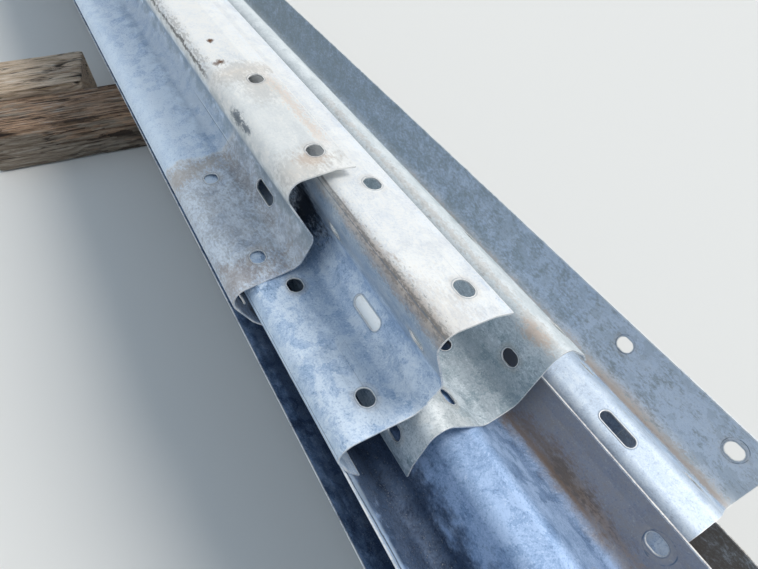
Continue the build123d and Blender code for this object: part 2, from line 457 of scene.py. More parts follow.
def rail_axes(node):
    """A rail's near-end middle, its turn about Y and whether it lies face up.

    The two lip ends are the points of the near end that lie furthest apart. The middle lies halfway between
    them, the turn is the slope of the line that joins them, and the face is the side where the rest lies."""
    points = mesh_points(node)
    near = points[:, 1].min()
    end = points[points[:, 1] < near + END_SLICE][:, [0, 2]]
    gaps = np.linalg.norm(end[:, None] - end[None], axis=2)
    i, j = np.unravel_index(gaps.argmax(), gaps.shape)
    left, right = (end[i], end[j]) if end[i][0] < end[j][0] else (end[j], end[i])
    middle = (left + right) / 2
    across = (right - left) / np.linalg.norm(right - left)
    rise = float(((end - middle) @ np.array([-across[1], across[0]])).mean())
    return (middle[0], near, middle[1]), -np.arctan2(across[1], across[0]), 1.0 if rise > 0 else -1.0


def timber_axes(node):
    """A timber's centre, its turn about Z, and its half length, half width and half height.

    The turn is the direction in which its points, seen from above, spread the most."""
    points = mesh_points(node)
    flat = points[:, :2] - points[:, :2].mean(axis=0)
    along = np.linalg.eigh(flat.T @ flat)[1][:, 1]
    along = along * np.sign(along[0])
    own = np.column_stack([points[:, :2] @ along, points[:, :2] @ [-along[1], along[0]], points[:, 2]])
    low, high = own.min(axis=0), own.max(axis=0)
    middle = (low + high) / 2
    centre = middle[0] * along + middle[1] * np.array([-along[1], along[0]])
    return (centre[0], centre[1], middle[2]), float(np.arctan2(along[1], along[0])), (high - low) / 2


def own_place(tree, centre, rotation, scale=EVEN):
    """A piece's own coordinates, from its centre, its turn and whether it is flipped."""
    inputs = {"Vector": place(tree, "ShaderNodeTexCoord").outputs["Object"]}
    inputs.update({"Location": centre, "Rotation": rotation, "Scale": scale})
    return place(tree, "ShaderNodeMapping", inputs, vector_type="TEXTURE").outputs[0]


def rail_place(tree, node):
    """Coordinates in the rail itself: X across it, Y along it from the near end, and Z towards its face."""
    middle, turn, face = rail_axes(node)
    return own_place(tree, middle, (0.0, turn, 0.0), (1.0, 1.0, face))


# What the years left on each rail, with painted shade and one painted pool of light among the marks. Places are in
# metres, across the rail from its middle and along it from its near end; up is the height above the valley. Width,
# wide and long are half sizes, and a share is how much of the colour shows. Pale is how light the zinc is and frost
# how much white oxide it carries. Bands and blotches lie in the zinc, and bloom is bands that lie over the lap. Torn
# and broken say how ragged a mark is.
Lap = namedtuple("Lap", "reach slant colour share")
Band = namedtuple("Band", "across width colour share torn")
Line = namedtuple("Line", "across width start stop broken colour share")
Patch = namedtuple("Patch", "across along wide long colour share")
Ring = namedtuple("Ring", "across along up radius")
Marks = namedtuple("Marks", "seed zinc pale frost lap bands scratches bloom blotches lines patches rings",
                   defaults=[0.3] + [()] * 5)

RAIL_MARKS = {
    "top_rail": Marks(
        seed=3.1, zinc=BLUE_ZINC, pale=0.79, frost=0.55, scratches=0.35, lap=Lap(0.325, -0.15, STAIN_GREY, 0.54),
        bands=[Band(-0.008, 0.030, SHADE_BLUE, 0.36, 0.6), Band(-0.105, 0.034, BLOOM_BLUE, 0.6, 0.4)],
        bloom=[Band(0.122, 0.042, CHALK_AND_HIGHLIGHT_WHITE, 0.96, 0.35), Band(0.048, 0.036, VALLEY_GREY, 0.65, 0.8)],
        lines=[
            Line(0.0985, 0.005, 0.33, 4.5, 0.90, DIRT_GREY, 0.80),
            Line(0.107, 0.008, 0.33, 2.5, 1.50, DIRT_GREY, 0.35),
            Line(-0.0035, 0.0010, 0.32, 0.50, 0.30, OXIDE_AND_PAINTED_LIGHT_WHITE, 0.6),
            Line(-0.0055, 0.0010, 0.32, 0.50, 0.30, SHADE_BLUE, 0.6),
            Line(0.150, 0.005, 0.07, 0.27, 1.10, RUST_LIGHT, 0.30),
            Line(-0.118, 0.0010, 0.34, 6.0, 0.35, SHADE_BLUE, 0.5),
        ],
        patches=[
            Patch(0.124, 0.344, 0.0040, 0.011, RUST_DARK, 1.0), Patch(0.1286, 0.423, 0.0030, 0.008, RUST_DARK, 1.0),
            Patch(0.119, 0.340, 0.0030, 0.008, RUST_DARK, 0.8), Patch(0.099, 0.190, 0.008, 0.028, NAVY, 0.95),
            Patch(0.101, 0.158, 0.005, 0.018, NAVY, 0.9), Patch(0.130, 0.300, 0.03, 0.03, STAIN_TAN, 0.5),
            Patch(0.138, 0.240, 0.016, 0.05, STAIN_TAN, 0.4), Patch(-0.060, 0.14, 0.030, 0.12, DIRT_GREY, 0.14),
            Patch(-0.146, 0.17, 0.014, 0.13, STAIN_TAN, 0.6), Patch(-0.085, 0.305, 0.06, 0.026, STAIN_TAN, 0.55),
            Patch(-0.090, 0.03, 0.06, 0.03, RUST_BROWN, 0.35), Patch(-0.020, 0.22, 0.012, 0.10, DIRT_BROWN, 0.35),
            Patch(0.120, 0.02, 0.03, 0.04, STAIN_TAN, 0.45), Patch(0.122, 0.15, 0.045, 0.18, WASHED_GREY, 0.35),
            Patch(0.135, 0.035, 0.012, 0.02, RUST_LIGHT, 0.35),
        ],
    ),
    "leaning_rail": Marks(
        seed=17.3, zinc=BLUE_ZINC, pale=0.72, frost=0.5, scratches=0.8, lap=Lap(0.14, 0.0, SHADE_BLUE, 0.10),
        bands=[Band(-0.030, 0.026, SHADE_BLUE, 0.18, 0.8), Band(-0.118, 0.022, BLOOM_BLUE, 0.5, 0.4),
               # The grey band is painted shade on the inner right wall
               Band(0.072, 0.032, FLANK_SHADE_GREY, 0.50, 0.5)],
        bloom=[Band(0.127, 0.032, CHALK_AND_HIGHLIGHT_WHITE, 0.88, 0.3)],
        lines=[
            Line(0.101, 0.010, -0.1, 0.27, 1.4, DIRT_BROWN, 0.50),
            Line(0.1035, 0.003, -0.1, 0.30, 0.7, DIRT_GREY, 0.45),
            Line(0.106, 0.0018, 0.2, 2.5, 0.35, DIRT_GREY, 0.6),
            Line(0.1005, 0.0011, 0.0, 3.5, 0.3, SHADE_BLUE, 0.5),
            Line(-0.1065, 0.0010, 0.0, 6.5, 0.25, SHADE_BLUE, 0.6),
            Line(-0.112, 0.0008, 0.0, 6.5, 0.35, SHADE_BLUE, 0.5),
        ],
        patches=[Patch(0.098, 0.07, 0.014, 0.19, RUST_BROWN, 0.45), Patch(0.112, 0.02, 0.022, 0.09, STAIN_TAN, 0.30),
                 # The navy patch is painted shade in the gap under the top rail's near end
                 Patch(0.020, 0.38, 0.060, 0.06, NAVY, 0.9)],
        rings=[Ring(-0.1345, 0.085, 0.0395, 0.020)],
    ),
    "middle_rail": Marks(
        seed=41.9, zinc=GREY_ZINC, pale=0.70, frost=0.55, scratches=0.4, lap=Lap(0.32, 0.05, GREY_ZINC[0], 0.12),
        bands=[Band(-0.080, 0.030, CHALK_AND_HIGHLIGHT_WHITE, 0.5, 0.9), Band(0.010, 0.040, GREY_ZINC[0], 0.4, 0.6)],
        bloom=[Band(0.105, 0.030, RUBBED_WHITE, 0.70, 0.4)],
        lines=[Line(0.099, 0.010, 0.0, 0.7, 1.0, STAIN_TAN, 0.35),
               Line(0.030, 0.060, -0.2, 1.2, 1.1, GREY_ZINC[0], 0.30)],
        patches=[Patch(0.089, 0.048, 0.012, 0.028, RUST_LIGHT, 0.5),
                 # The white patch is a painted pool of light on the crest that shows through the leaning rail's slot
                 Patch(-0.087, 0.21, 0.035, 0.06, OXIDE_AND_PAINTED_LIGHT_WHITE, 0.95),
                 Patch(-0.035, 0.166, 0.016, 0.035, GREY_ZINC[0], 0.8)],
    ),
    "front_rail": Marks(
        seed=66.2, zinc=DARK_ZINC, pale=0.72, frost=0.22, lap=Lap(0.0, 0.0, SHADE_BLUE, 0.0),
        # The navy band is painted shade in the left trough
        bands=[Band(-0.104, 0.042, NAVY, 0.95, 0.7), Band(0.135, 0.036, DRIED_MUD, 0.92, 0.3)],
        bloom=[Band(-0.150, 0.006, BLOOM_BLUE, 0.6, 0.4)],
        lines=[Line(0.108, 0.004, 0.33, 1.2, 1.0, RUST_BROWN, 0.60),
               Line(0.117, 0.006, 0.20, 0.38, 1.1, RUST_LIGHT, 0.35),
               # The navy line is painted shade along the left lip
               Line(-0.150, 0.0014, 0.0, 5.0, 0.6, NAVY, 0.8)],
        patches=[Patch(0.116, 0.41, 0.014, 0.11, RUST_BROWN, 0.60), Patch(0.116, 0.385, 0.009, 0.05, DIRT_BROWN, 0.5)],
        rings=[Ring(0.136, 0.2667, 0.036, 0.0155), Ring(0.139, 0.262, 0.034, 0.021)],
    ),
    "right_outer_rail": Marks(
        seed=83.5, zinc=BLUE_ZINC, pale=0.62, frost=0.4, scratches=0.25, lap=Lap(0.33, 0.1, CHALK_AND_HIGHLIGHT_WHITE, 0.12),
        bands=[Band(0.128, 0.040, WASHED_BLUE, 0.95, 0.2), Band(0.000, 0.062, VALLEY_BLUE, 0.52, 0.9)],
        blotches=[Band(0.128, 0.040, BLOTCH_GREY, 0.36, 0.2)],
        lines=[Line(0.089, 0.0075, 0.0, 0.45, 0.65, RUST_BROWN, 0.55),
               Line(0.094, 0.012, 0.0, 0.9, 0.85, STAIN_TAN, 0.6)],
        patches=[Patch(0.096, 0.20, 0.014, 0.08, RUST_LIGHT, 0.35), Patch(0.110, 1.5, 0.09, 1.1, DULL_BLUE, 0.4),
                 Patch(0.110, 4.7, 0.09, 4.1, DULL_GREY, 0.86)],
        rings=[Ring(0.140, 0.0508, 0.0325, 0.019), Ring(0.140, 0.2667, 0.0325, 0.0165)],
    ),
    "right_base_rail": Marks(
        seed=102.0, zinc=GREY_ZINC, pale=0.42, frost=0.4, lap=Lap(SPLICE_LAP, 0.0, STAIN_GREY, 0.6),
        bands=[Band(0.095, 0.060, DARK_BROWN, 0.85, 0.4), Band(-0.09, 0.05, DARK_BROWN, 0.7, 0.5)],
        patches=[Patch(0.120, 0.2, 0.05, 0.4, DIRT_BROWN, 0.6)],
    ),
    "right_base_rail_nested": Marks(
        seed=121.0, zinc=GREY_ZINC, pale=0.42, frost=0.4, lap=Lap(SPLICE_LAP, 0.0, STAIN_GREY, 0.6),
        bands=[Band(0.095, 0.055, DARK_BROWN, 0.88, 0.4), Band(-0.09, 0.05, DARK_BROWN, 0.8, 0.5)],
        patches=[Patch(0.125, 0.25, 0.05, 0.5, DIRT_BROWN, 0.6)],
    ),
    "left_base_rail": Marks(
        seed=143.0, zinc=BLUE_ZINC, pale=0.45, frost=0.3, lap=Lap(SPLICE_LAP, 0.0, SHADE_BLUE, 0.4),
        # The navy band is painted shade in the trough under the rails above
        bands=[Band(-0.10, 0.05, NAVY, 0.92, 0.4)],
    ),
    "right_upturned_rail": Marks(
        seed=167.0, zinc=BLUE_ZINC, pale=0.60, frost=0.5, lap=Lap(SPLICE_LAP, 0.0, STAIN_TAN, 0.5),
        bands=[Band(0.0, 0.03, SHADE_BLUE, 0.4, 0.5)],
    ),
    "left_upturned_rail": Marks(
        seed=188.0, zinc=BLUE_ZINC, pale=0.60, frost=0.5, lap=Lap(SPLICE_LAP, 0.0, STAIN_TAN, 0.4),
        bands=[Band(0.0, 0.03, SHADE_BLUE, 0.4, 0.5)],
    ),
}

# How far from a hole's edge a mark ends and where it is full, in metres
HOLE_RIM = (0.0017, 0.0009)
SLOT_RIM = (0.0022, 0.0012)
HOLE_CREVICE = (0.0036, 0.0024)
SLOT_CREVICE = (0.0042, 0.0030)
WASHER_STAIN = (0.012, 0.003)

# Patterns by their weights, and the sums of them where an effect starts and where it is full
FROST = {"Feather": 0.6, "Grain": 0.6}
LAP_FILM = {"Mottle": 0.45, "Feather": 0.45, "Speck": 0.35}
UNEVEN = ({"Mottle": 0.5, "Feather": 0.5}, 0.36, 0.64)
FLECKS = ({"Cloud": 0.4, "Mottle": 0.7, "Leaf": 0.30}, 0.71, 0.83)
LIGHT_FROST = (FROST, 0.67, 0.81)
DARK_FROST = (FROST, 0.55, 0.41)
LAP_STAIN = (LAP_FILM, 0.80, 0.50)
LAP_POWDER = (LAP_FILM, 0.56, 0.80)
WASHER_BLOTCH = ({"Mottle": 1.0}, 0.62, 0.42)
BRIGHT_EDGE = ({"Mottle": 0.6, "Grain": 0.4}, 0.38, 0.58)

# The tone of the zinc: its patterns by their weights, what is taken off, and where its shades start and are full
ZINC_TONE = {"Cloud": 0.45, "Mottle": 0.80, "Feather": 0.60, "Grain": 0.60, "Leaf": 0.28}
TONE_OFF = 0.865
MIDDLE_TONE = (0.66, 1.08)
LIGHT_TONE = (0.96, 1.45)

# Shares of the colours that lie on every rail, the lap's as parts of its own share and a band's as a part of its
# own. A pair is how much more shows where a pattern lies and how much shows everywhere.
THINNED = 0.25
CUT_SHARES = (0.65, 0.15)
RIM_SHARES = (0.4, 0.45)
FROST_SHADE = 0.26
POWDER_SHARE = 1.15
LAP_RIM_SHARE = 0.5
RING_SHADE = 0.8
SCRATCH_SHADE = 0.5
WASHER_TAN = 0.30
CREVICE_SHADE = 0.35

# Sheen and relief of the zinc. Below the dull tone a colour reflects less, as dirt and open rust do.
METALLIC = 0.32
SHEEN = 0.5
DULL_TONE = 0.16
ZINC_ROUGHNESS = {"Mottle": 0.25, "Leaf": 0.10}
ZINC_HEIGHT = {"Mottle": 0.5, "Feather": 0.35, "Grain": 0.2, "Cloud": 2.5}
ZINC_RELIEF = 0.0006
ZINC_RELIEF_SHARE = 0.7


def new_finish(name):
    """An empty material with a Principled shader at its end."""
    finish = bpy.data.materials.new(name)
    finish.use_nodes = True
    tree = finish.node_tree
    return finish, tree, tree.nodes["Principled BSDF"]


def roughen(tree, shader, height, depth, share):
    """Gives a shader the normals of a fine relief, so many metres deep."""
    bump = place(tree, "ShaderNodeBump", {"Height": height, "Distance": depth, "Strength": share})
    tree.links.new(bump.outputs[0], shader.inputs["Normal"])


def weighed(tree, patterns, weights, *others):
    """The sum of some patterns and other values, each with its own weight."""
    return total(tree, *[(patterns[label], weight) for label, weight in weights.items()], *others)


def where(tree, crystals, weights, start, full):
    """The places where the sum of some patterns has passed its start, up to where it is full."""
    return ramp(tree, weighed(tree, crystals, weights), start, full)


def zinc_colour(tree, crystals, shades, pale):
    """Three shades of zinc, mixed by its tone."""
    deep, middle, light = shades
    tone = weighed(tree, crystals, ZINC_TONE, (1.0, pale - TONE_OFF))
    colour = tint(tree, ramp(tree, tone, *MIDDLE_TONE), deep, middle)
    return tint(tree, ramp(tree, tone, *LIGHT_TONE), colour, light)


def band_mask(tree, at, crystals, band):
    """Where a band lies."""
    return use(tree, soft_band, Place=at, Across=band.across, Width=band.width, Torn=band.torn,
               Lumps=crystals["Mottle"])["Mask"]


def banded(tree, at, crystals, colour, bands):
    """Lays bands over a colour, each thinned in places."""
    for band in bands:
        strength = raised(tree, where(tree, crystals, *UNEVEN), band.share * THINNED, band.share * (1 - THINNED))
        colour = paint(tree, colour, band.colour, band_mask(tree, at, crystals, band), strength)
    return colour


def zinc_coat(tree, at, crystals, marks):
    """The zinc: its shades, the bands and blotches that lie in it, some bands painted shade, and its light and dark
    frost.
    """
    colour = zinc_colour(tree, crystals, marks.zinc, marks.pale)
    colour = banded(tree, at, crystals, colour, marks.bands)
    for band in marks.blotches:
        flecks = product(tree, band_mask(tree, at, crystals, band), where(tree, crystals, *FLECKS))
        colour = paint(tree, colour, band.colour, flecks, band.share)
    colour = paint(tree, colour, OXIDE_AND_PAINTED_LIGHT_WHITE, where(tree, crystals, *LIGHT_FROST), marks.frost)
    return paint(tree, colour, marks.zinc[0], where(tree, crystals, *DARK_FROST), FROST_SHADE)


def lapped(tree, at, crystals, colour, marks):
    """The lap's blotchy stain and white powder, the bloom that grew over them, and the lap's chalky edge."""
    lap = marks.lap
    mark = use(tree, lap_mark, Place=at, Reach=lap.reach, Slant=lap.slant, Lumps=crystals["Mottle"])
    blotchy = product(tree, mark["Mask"], where(tree, crystals, *LAP_STAIN))
    colour = paint(tree, colour, lap.colour, blotchy, lap.share)
    powdery = product(tree, mark["Mask"], where(tree, crystals, *LAP_POWDER))
    colour = paint(tree, colour, POWDER, powdery, lap.share * POWDER_SHARE)
    colour = banded(tree, at, crystals, colour, marks.bloom)
    return paint(tree, colour, CHALK_AND_HIGHLIGHT_WHITE, mark["Edge"], lap.share * LAP_RIM_SHARE)


def stained(tree, at, crystals, colour, marks):
    """Lays the patches and lines, some of them painted shade, over a colour. Also gives the strongest of their masks.
    """
    pattern = {"Place": at, "Lumps": crystals["Mottle"], "Specks": crystals["Speck"]}
    masks = []
    for patch in marks.patches:
        size = {"Centre": (patch.across, patch.along, 0.0), "Size": (patch.wide, patch.long, 1.0)}
        masks.append((use(tree, ragged_patch, **pattern, **size)["Mask"], patch))
    for line in marks.lines:
        size = {"Across": line.across, "Width": line.width, "From": line.start, "To": line.stop}
        mask = use(tree, worn_line, **pattern, **size, Broken=line.broken, Drift=crystals["Drift"])["Mask"]
        masks.append((mask, line))
    stain_and_shade = 0.0
    for mask, mark in masks:
        shown = product(tree, mask, mark.share)
        colour = tint(tree, shown, colour, mark.colour)
        stain_and_shade = calc(tree, "MAXIMUM", stain_and_shade, shown)
    return colour, stain_and_shade


def ringed(tree, at, colour, rings):
    """Lays the washer prints over a colour. Also gives the strongest of their masks."""
    printed = 0.0
    for ring in rings:
        mask = use(tree, washer_ring, Place=at, Centre=(ring.across, ring.along, ring.up), Radius=ring.radius)["Mask"]
        printed = calc(tree, "MAXIMUM", printed, mask)
        colour = paint(tree, colour, SHADE_BLUE, mask, RING_SHADE)
    return colour, printed


def edged(tree, at, crystals, colour):
    """Tan stains and painted shade round holes, painted highlights on rims and cut edges. Gives the highlight mask."""
    holes = use(tree, hole_distances, Place=at)
    washer = product(tree, ramp(tree, holes["Hole"], *WASHER_STAIN), where(tree, crystals, *WASHER_BLOTCH))
    colour = paint(tree, colour, STAIN_TAN, washer, WASHER_TAN)
    crevice = calc(tree, "MAXIMUM", ramp(tree, holes["Hole"], *HOLE_CREVICE), ramp(tree, holes["Slot"], *SLOT_CREVICE))
    colour = paint(tree, colour, SHADE_BLUE, crevice, CREVICE_SHADE)
    rim = calc(tree, "MAXIMUM", ramp(tree, holes["Hole"], *HOLE_RIM), ramp(tree, holes["Slot"], *SLOT_RIM))
    bright = where(tree, crystals, *BRIGHT_EDGE)
    cut = product(tree, use(tree, cut_edges, Place=at)["Mask"], raised(tree, bright, *CUT_SHARES))
    rim = product(tree, rim, raised(tree, bright, *RIM_SHARES))
    edges = calc(tree, "MAXIMUM", cut, rim)
    return tint(tree, edges, colour, CHALK_AND_HIGHLIGHT_WHITE), edges


def zinc_finish(node, marks):
    """Weathered zinc on one rail: coat, lap, stains, painted shade, washer prints, scratches, and painted highlights
    on hole rims and cut edges.

    Stains and painted shade are rougher than the coat, and the painted edge highlights smoother. The relief falls at
    scratches and washer prints and rises where stains, rust and painted shade lie."""
    finish, tree, shader = new_finish(f"weathered_zinc_{node}")
    at = rail_place(tree, node)
    moved = stretched(tree, at, EVEN, (marks.seed, marks.seed * 0.7, 0.0))
    crystals = use(tree, zinc_crystals, Place=moved)
    colour = zinc_coat(tree, at, crystals, marks)
    colour = lapped(tree, at, crystals, colour, marks)
    colour, stain_and_shade = stained(tree, at, crystals, colour, marks)
    colour, printed = ringed(tree, at, colour, marks.rings)
    scratches = use(tree, roll_scratches, Place=moved, Amount=marks.scratches)["Mask"]
    colour = paint(tree, colour, marks.zinc[0], scratches, SCRATCH_SHADE)
    colour, edges = edged(tree, at, crystals, colour)
    tree.links.new(colour, shader.inputs["Base Color"])
    shader.inputs["Metallic"].default_value = METALLIC
    tone = place(tree, "ShaderNodeRGBToBW", {0: colour}).outputs[0]
    tree.links.new(product(tree, ramp(tree, tone, 0.0, DULL_TONE), SHEEN), shader.inputs["Specular IOR Level"])
    rough = weighed(tree, crystals, ZINC_ROUGHNESS, (stain_and_shade, 0.3), (edges, -0.1), (1.0, 0.36))
    tree.links.new(rough, shader.inputs["Roughness"])
    height = weighed(tree, crystals, ZINC_HEIGHT, (scratches, -0.3), (printed, -0.6), (stain_and_shade, 0.3))
    roughen(tree, shader, height, ZINC_RELIEF, ZINC_RELIEF_SHARE)
    return finish


def new_object(name, data):
    """An object at the origin for a mesh, a lamp or a camera."""
    made = bpy.data.objects.new(name, data)
    bpy.context.scene.collection.objects.link(made)
    return made


def new_piece(name, points, faces):
    """A smooth-shaded object, from points and from faces as lists of their numbers."""
    mesh = bpy.data.meshes.new(name)
    mesh.from_pydata(points, [], faces)
    mesh.shade_smooth()
    return new_object(name, mesh)


# The punched holes: a thin bead of zinc lines each one. A bead is its width and how far it stands proud, and the
# reach and slack tell which corners lie at a hole's two ends. All in metres.

HOLE_BEAD = (0.0015, 0.0001)
SLOT_BEAD = (0.0026, 0.0005)
BEAD_SIDES = 40
BEAD_SECTION = 10
CORNER_REACH = 0.004
END_SLACK = 0.0003


def hole_guesses():
    """Each hole of a rail: roughly where it lies, its round radius, half its straight part, and its bead."""
    columns = [END_TO_SLOT - SLOT_TO_HOLES, END_TO_SLOT + SLOT_TO_HOLES]
    columns += [RAIL_LENGTH - y for y in columns]
    rows = [(hand * across, up) for hand in (-1, 1) for across, up in (INNER_ROW, OUTER_ROW)]
    holes = [((across, y, up), HOLE_ROUND, HOLE_STRAIGHT, HOLE_BEAD) for across, up in rows for y in columns]
    slots = [((0.0, END_TO_SLOT + bay * BAY, 0.0), SLOT_ROUND, SLOT_STRAIGHT, SLOT_BEAD) for bay in range(BAYS + 1)]
    return holes + slots


def bead(centre, out, radius, straight, width, proud):
    """A closed ring round one hole, as a grid of points round the hole and round the ring's own section.

    The path is a circle whose two halves are moved apart along the rail. The section is a superellipse, a
    rectangle with rounded corners that stands a little proud of the sheet on both sides."""
    along = np.array([0.0, 1.0, 0.0])
    side = np.cross(along, out)
    a = (np.arange(BEAD_SIDES) + 0.5)[:, None] * 2 * pi / BEAD_SIDES
    b = np.arange(BEAD_SECTION)[None] * 2 * pi / BEAD_SECTION
    wide = np.sign(np.cos(b)) * np.abs(np.cos(b)) ** 0.5 * width / 2
    tall = np.sign(np.sin(b)) * np.abs(np.sin(b)) ** 0.5 * (SHEET / 2 + proud) + 0 * a
    far = radius + width / 2 + wide
    across, forward = far * np.cos(a), far * np.sin(a) + straight * np.sign(np.sin(a))
    return centre + across[..., None] * side + forward[..., None] * along + tall[..., None] * out


def hole_beads(name, node):
    """The beads of all holes of a rail, each one a torus of points joined by quads.

    The corners at the two ends of a hole give its middle, which is their mean, and its facing, which is the
    direction in which they spread the least."""
    points = mesh_points(node)
    middle, turn, face = rail_axes(node)
    basis = np.array([[np.cos(turn), 0, -np.sin(turn)], [0, 1, 0], [face * np.sin(turn), 0, face * np.cos(turn)]])
    rings = []
    for guess, radius, straight, (width, proud) in hole_guesses():
        reach = radius + straight
        near = points[np.linalg.norm(points - middle - np.array(guess) @ basis, axis=1) < reach + CORNER_REACH]
        ends = near[np.abs(near[:, 1] - middle[1] - guess[1]) > reach - END_SLACK]
        centre = ends.mean(axis=0)
        out = np.linalg.svd(ends - centre)[2][2]
        rings.append(bead(centre, out, radius, straight, width, proud))
    grid = np.arange(len(rings) * BEAD_SIDES * BEAD_SECTION).reshape(len(rings), BEAD_SIDES, BEAD_SECTION)
    ahead, inward = np.roll(grid, -1, axis=1), np.roll(grid, -1, axis=2)
    both = np.roll(ahead, -1, axis=2)
    quads = np.stack([grid, ahead, both, inward], axis=-1).reshape(-1, 4)
    return new_piece(name, np.concatenate([ring.reshape(-1, 3) for ring in rings]), quads.tolist())


for name, marks in RAIL_MARKS.items():
    finish = zinc_finish(name, marks)
    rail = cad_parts[name]
    rail.data.materials.clear()
    rail.data.materials.append(finish)
    beads = hole_beads(f"{name}_hole_beads", name)
    beads.data.materials.append(finish)
    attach(beads, "root")


# The timbers: sawn faces that weather, split and splinter. Lengths and depths are in metres.

EASED = 0.007
AROUND = 200
ROW_GAP = 0.0035
CAP_RINGS = 10
CAP_INSET = 0.0005
CAP_DIP = 0.005
CAP_SPOKES = 23
CORNER_FADE = 0.018
END_WEAR = 0.004
END_FADE = 0.006
LATTICE = 128
FURROW_DEPTH = 0.0012
WAVE_DEPTH = 0.0016
SPLIT_DEPTH = 0.006
STRIP_DEPTH = 0.0050
STRIP_STEPS = 5
EDGE_DEPTH = 0.004


def lumps(x, y, seed):
    """Smooth lumps between 0 and 1: chance values on a square lattice, joined by smoothsteps both ways."""
    lattice = np.random.default_rng(seed).random((LATTICE, LATTICE))
    i, j = np.floor(x).astype(int), np.floor(y).astype(int)
    u, v = x - i, y - j
    u, v = u * u * (3 - 2 * u), v * v * (3 - 2 * v)
    i, j, k, m = i % LATTICE, j % LATTICE, (i + 1) % LATTICE, (j + 1) % LATTICE
    low = lattice[i, j] * (1 - u) + lattice[k, j] * u
    high = lattice[i, m] * (1 - u) + lattice[k, m] * u
    return low * (1 - v) + high * v


def smooth(value, low, high):
    """0 below low, 1 above high and a smoothstep between."""
    t = np.clip((value - low) / (high - low), 0, 1)
    return t * t * (3 - 2 * t)


def wear(along, around, corner, seed, torn):
    """How far the weather ate into each point, in metres: grain furrows, long splits and torn strips.

    The factors of along and around are lumps a metre. Furrows are fine lumps drawn out along the grain. A split
    is where drawn-out lumps cross their middle value. Torn strips are lumps in steps, where a coarse mask and
    the nearness of an edge let them."""
    furrows = FURROW_DEPTH * (lumps(along * 5, around * 230, seed) + lumps(along * 3, around * 70, seed + 9))
    waves = WAVE_DEPTH * lumps(along * 4, around * 9, seed + 2)
    line = np.abs(lumps(along * 1.7, around * 26, seed + 3) - 0.5)
    gate = smooth(lumps(along * 2.3, around * 7, seed + 4), 0.45, 0.65)
    splits = SPLIT_DEPTH * smooth(line, 0.045, 0.0) * gate
    strips = np.round(lumps(along * 7, around * 120, seed + 5) * STRIP_STEPS) / STRIP_STEPS
    allowed = smooth(lumps(along * 2.6, around * 13, seed + 6) + 0.35 * corner, 0.50, 0.70) * torn
    edge = EDGE_DEPTH * corner * lumps(along * 9, around * 20, seed + 7)
    return furrows + waves + splits + STRIP_DEPTH * strips * allowed + edge


def timber_rings(half, seed, torn):
    """The rings of points round a timber along its own axes, from cap to cap, and how deep each point is worn.

    A ring runs round the section: the point of the sharp rectangle, pulled in to the core by the easing and
    pushed out again along its own direction, less the wear. Cap rings shrink evenly and dip at some spokes."""
    reach, w, h = half
    corners = np.cumsum([0, 2 * w, 2 * h, 2 * w, 2 * h])
    around = np.arange(AROUND) / AROUND * corners[-1]
    sharp = np.column_stack([np.interp(around, corners, [-w, w, w, -w, -w]),
                             np.interp(around, corners, [-h, -h, h, h, -h])])
    core = np.clip(sharp, [-w + EASED, -h + EASED], [w - EASED, h - EASED])
    out = (sharp - core) / np.linalg.norm(sharp - core, axis=1)[:, None]
    to_corner = np.minimum(w - np.abs(sharp[:, 0]), 1) + np.minimum(h - np.abs(sharp[:, 1]), 1)
    corner = np.exp(-to_corner / CORNER_FADE)
    along = np.linspace(-reach, reach, int(reach * 2 / ROW_GAP))
    a, c = np.meshgrid(along + reach, around, indexing="ij")
    depth = wear(a, c, corner[None, :], seed, torn)
    fade = END_WEAR * np.exp(-np.minimum(a, 2 * reach - a) / END_FADE)
    section = core[None] + out[None] * (EASED - depth - fade)[..., None]
    body = np.concatenate([np.broadcast_to(along[:, None, None], a.shape + (1,)), section], axis=2)
    shrink = np.linspace(1, 0, CAP_RINGS + 1)[1:-1, None]
    spokes = smooth(lumps(np.arange(AROUND) / AROUND * CAP_SPOKES, np.zeros(AROUND), seed + 8), 0.6, 0.9)
    flat = (reach - CAP_INSET - CAP_DIP * spokes[None] * np.sin(pi * shrink))[..., None]
    first = np.concatenate([-flat, section[0] * shrink[..., None]], axis=2)
    last = np.concatenate([flat, section[-1] * shrink[..., None]], axis=2)
    unworn = np.zeros(flat.shape[:2])
    return np.concatenate([first[::-1], body, last]), np.concatenate([unworn, depth, unworn])


def skin_faces(count):
    """Quads between each ring and the next, and fans from the two last points over the first and last ring."""
    r, k = np.meshgrid(np.arange(count - 1), np.arange(AROUND), indexing="ij")
    here, ahead = r * AROUND, (r + 1) * AROUND
    n = (k + 1) % AROUND
    quads = np.stack([ahead + k, ahead + n, here + n, here + k], axis=-1).reshape(-1, 4)
    k, n = k[0], n[0]
    last = (count - 1) * AROUND
    first_fan = np.column_stack([k, n, np.full(AROUND, count * AROUND)])
    last_fan = np.column_stack([last + n, last + k, np.full(AROUND, count * AROUND + 1)])
    return quads.tolist() + first_fan.tolist() + last_fan.tolist()


def timber_surface(name, node, seed, torn):
    """A timber as one closed skin: rings round its length, ringed caps and a point in the middle of each cap."""
    centre, turn, half = timber_axes(node)
    rings, worn = timber_rings(half, seed, torn)
    pole = half[0] - CAP_INSET
    points = np.vstack([rings.reshape(-1, 3), [[-pole, 0, 0], [pole, 0, 0]]])
    spin = np.array([[np.cos(turn), np.sin(turn), 0], [-np.sin(turn), np.cos(turn), 0], [0, 0, 1]])
    piece = new_piece(name, points @ spin + centre, skin_faces(len(rings)))
    attribute = piece.data.attributes.new("worn", "FLOAT", "POINT")
    attribute.data.foreach_set("value", np.append(worn.ravel(), [0, 0]).astype(np.float32))
    return piece


